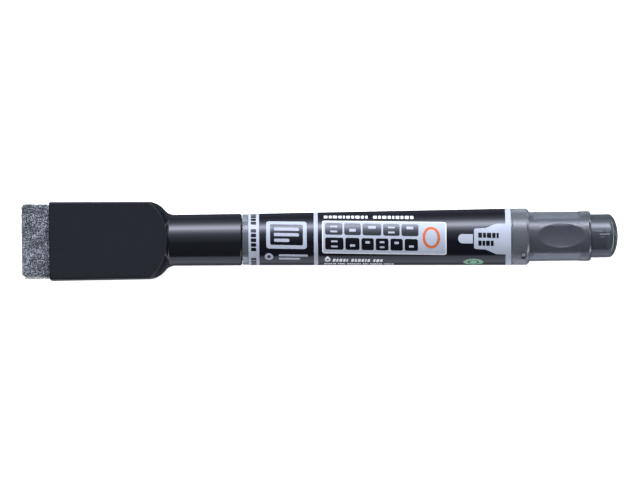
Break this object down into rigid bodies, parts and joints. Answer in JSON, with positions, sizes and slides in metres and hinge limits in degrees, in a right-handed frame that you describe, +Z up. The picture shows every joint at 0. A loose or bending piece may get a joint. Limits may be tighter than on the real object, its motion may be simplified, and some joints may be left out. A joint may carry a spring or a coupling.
{
  "type": "whiteboard marker",
  "caption": "Slim whiteboard marker with a felt eraser head on its pull-off cap, a clear barrel with a printed film, an extra-fine fibre nib and a pull-out ink cartridge.",
  "frame": {"origin": "on the table, under the middle of the closed marker's box", "axes": "+X from the eraser felt to the tail plug, +Z up out of the head's flat face, +Y across the head"},
  "size_m": [0.14, 0.0184, 0.0133],
  "materials": {
    "cap_plastic": "satin moulded black",
    "felt": "pressed wool felt, mottled grey",
    "liner_plastic": "natural soft plastic",
    "clear_plastic": "clear moulded",
    "label": "printed film, black and silver",
    "section_plastic": "moulded black",
    "nib_fibre": "bonded fibre soaked with black ink",
    "feed_plastic": "natural moulded",
    "wick_fibre": "ink-soaked fibre",
    "rubber_black": "matt moulded rubber",
    "smoky_plastic": "smoky clear moulded",
    "plug_plastic": "dark smoky moulded",
    "ink": "wet black",
    "ball_steel": "polished"
  },
  "bodies": {
    "barrel": {"barrel": "clear_plastic", "label_film": "label", "front_section": "section_plastic", "nib": "nib_fibre", "ink_collector": "feed_plastic", "feed_wick": "wick_fibre", "connector_tube": "feed_plastic", "connector_seal": "rubber_black"},
    "cap": {"cap_shell": "cap_plastic", "felt_eraser": "felt", "inner_cap": "liner_plastic"},
    "cartridge": {"cartridge_tube": "clear_plastic", "mouth_bush": "rubber_black", "tail_sleeve": "smoky_plastic", "tail_plug": "plug_plastic", "plug_seal": "rubber_black", "ink_charge": "ink"},
    "ball": {"seal_ball": "ball_steel"}
  },
  "joints": [
    {"name": "cap_pull", "type": "slide", "parent": "barrel", "child": "cap", "axis": [-1, 0, 0], "range_m": [0, 0.045]},
    {"name": "cartridge_pull", "type": "slide", "parent": "barrel", "child": "cartridge", "axis": [1, 0, 0], "range_m": [0, 0.055]},
    {"name": "ball_run", "type": "slide", "parent": "cartridge", "child": "ball", "axis": [1, 0, 0], "range_m": [0, 0.04]}
  ]
}
